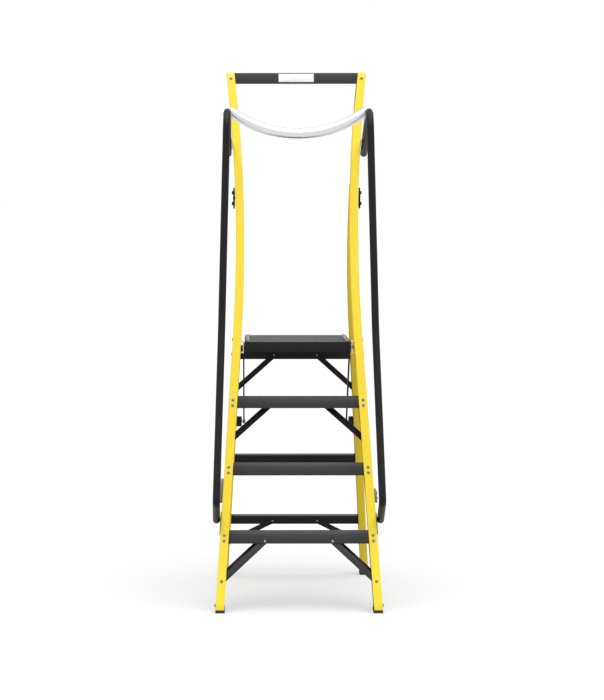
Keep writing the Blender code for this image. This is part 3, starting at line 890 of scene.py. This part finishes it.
setOut(footModel, "foot_rivets", webPlaces(webRivet["foot"]), "front_frame", "dull_steel")
stayLow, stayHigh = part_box("handrail_stay_right")
stayFace = stayHigh.x - outerX(frontStile, stayLow.z)
setOut(rivetModel, "stay_screws", webPlaces(webRivet["leftStay"], stayFace, (-1,))
       + webPlaces(webRivet["rightStay"], stayFace, (1,)), "front_frame", "black_coat")
railSide = handrail["corners"][0][0] + handrail["radius"] - railScrew["sink"]
railSpots = [(railSide, frontStile["floorY"] + y, z) for y, z in railScrew["places"]]
setOut(rivetModel, "rail_screws", sideways(railSpots), "front_frame", "black_coat")
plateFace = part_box("hinge_plate_right")[1].x
hingeSpots = [(plateFace, faceY(frontStile, z, bolt["hingeDepth"]), z) for z in bolt["hingeHeights"]]
setOut(boltModel, "hinge_bolts", sideways(hingeSpots), "front_frame", "black_coat")
for model in (rivetModel, smallModel, footModel, boltModel):
    bpy.data.objects.remove(model)
print("rivets and bolts made")


# blank label plate on the top bar

labelPlate = {"halfWidth": 0.0696, "height": 0.034, "thickness": 0.0008, "corner": 0.0015, "cornerSteps": 4,
              "edge": 0.0002}


def makeLabel(name):
    half, tall = labelPlate["halfWidth"], labelPlate["height"] / 2
    piece = addBox(name, (-half, 0, -tall), (half, labelPlate["thickness"], tall))
    pick(piece, "EDGE", lambda edge: span(edge, 1) > bench["near"])
    bpy.ops.mesh.bevel(offset=labelPlate["corner"], segments=labelPlate["cornerSteps"], affect="EDGES")
    clearSelection()
    roundOff(piece, labelPlate["edge"])
    middle = frontStile["top"] - topBar["skirt"] / 2
    piece.rotation_euler.x = -math.atan(frontStile["lean"])
    piece.location = (0, faceY(frontStile, middle, frontStile["wall"] - labelPlate["thickness"]), middle)
    applyPlace(piece)
    return piece


blankLabel = makeLabel("blank_label")
blankLabel.data.materials.append(makeLabelFilm())
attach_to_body(blankLabel, "front_frame")
print("label made")


# floor, light and camera

studio = {"worldLevel": 0.48, "floorSize": 400, "floorDrop": 0.0006, "floorGlow": 0.45, "floorPaint": 0.40,
          "floorBounce": 0.32, "lampPlace": (0.3, -1.9, 6.0), "lampPower": 3.35, "lampSpread": 70}
# the camera stands left of the middle and looks straight ahead, so that level lines stay level,
# and the shift brings the steps back to the middle of the picture
shot = {"place": (-0.1900, -9.08357, 1.579), "lens": 119.42, "pitch": 3.8925, "roll": 0.04, "shift": 0.0767}


def seenDirectly(tree):
    # 1 for camera, glossy and transmission rays
    path = tree.nodes.new("ShaderNodeLightPath")
    either = tree.nodes.new("ShaderNodeMath")
    either.operation = "MAXIMUM"
    anyOf = tree.nodes.new("ShaderNodeMath")
    anyOf.operation = "MAXIMUM"
    tree.links.new(path.outputs["Is Camera Ray"], either.inputs[0])
    tree.links.new(path.outputs["Is Glossy Ray"], either.inputs[1])
    tree.links.new(either.outputs[0], anyOf.inputs[0])
    tree.links.new(path.outputs["Is Transmission Ray"], anyOf.inputs[1])
    return anyOf.outputs[0]


def makeWorld():
    world = bpy.data.worlds.new("studioWorld")
    world.use_nodes = True
    tree = world.node_tree
    light = tree.nodes["Background"]
    light.inputs["Color"].default_value = (1, 1, 1, 1)
    light.inputs["Strength"].default_value = studio["worldLevel"]
    backdrop = tree.nodes.new("ShaderNodeBackground")
    backdrop.inputs["Color"].default_value = (1, 1, 1, 1)
    backdrop.inputs["Strength"].default_value = 1
    mix = tree.nodes.new("ShaderNodeMixShader")
    tree.links.new(seenDirectly(tree), mix.inputs["Fac"])
    tree.links.new(light.outputs["Background"], mix.inputs[1])
    tree.links.new(backdrop.outputs["Background"], mix.inputs[2])
    tree.links.new(mix.outputs["Shader"], tree.nodes["World Output"].inputs["Surface"])
    bpy.context.scene.world = world


def makeFloor():
    clearSelection()
    bpy.ops.mesh.primitive_plane_add(size=studio["floorSize"], location=(0, 0, -studio["floorDrop"]))
    floor = settle("floor")
    paint = bpy.data.materials.new("floorPaint")
    paint.use_nodes = True
    tree = paint.node_tree
    tree.nodes.remove(tree.nodes["Principled BSDF"])
    seen = tree.nodes.new("ShaderNodeBsdfDiffuse")
    seen.inputs["Color"].default_value = (*[studio["floorPaint"]] * 3, 1)
    glow = tree.nodes.new("ShaderNodeEmission")
    glow.inputs["Strength"].default_value = studio["floorGlow"]
    together = tree.nodes.new("ShaderNodeAddShader")
    bounce = tree.nodes.new("ShaderNodeBsdfDiffuse")
    bounce.inputs["Color"].default_value = (*[studio["floorBounce"]] * 3, 1)
    mix = tree.nodes.new("ShaderNodeMixShader")
    tree.links.new(seen.outputs["BSDF"], together.inputs[0])
    tree.links.new(glow.outputs["Emission"], together.inputs[1])
    tree.links.new(seenDirectly(tree), mix.inputs["Fac"])
    tree.links.new(bounce.outputs["BSDF"], mix.inputs[1])
    tree.links.new(together.outputs["Shader"], mix.inputs[2])
    tree.links.new(mix.outputs["Shader"], tree.nodes["Material Output"].inputs["Surface"])
    floor.data.materials.append(paint)


def makeLamp():
    # wide soft light from high in front, even over the whole floor
    clearSelection()
    bpy.ops.object.light_add(type="SUN", location=studio["lampPlace"])
    lamp = bpy.context.object
    lamp.name = "softbox"
    lamp.data.energy = studio["lampPower"]
    lamp.data.angle = math.radians(studio["lampSpread"])
    lamp.rotation_euler = (-lamp.location).to_track_quat("-Z", "Y").to_euler()


def makeCamera():
    clearSelection()
    turn = (math.pi / 2 - math.radians(shot["pitch"]), math.radians(shot["roll"]), 0)
    bpy.ops.object.camera_add(location=shot["place"], rotation=turn)
    bpy.context.object.data.lens = shot["lens"]
    bpy.context.object.data.shift_x = shot["shift"]
    bpy.context.scene.camera = bpy.context.object


makeWorld()
makeFloor()
makeLamp()
makeCamera()
bpy.context.scene.view_settings.view_transform = "Standard"
print("studio made")
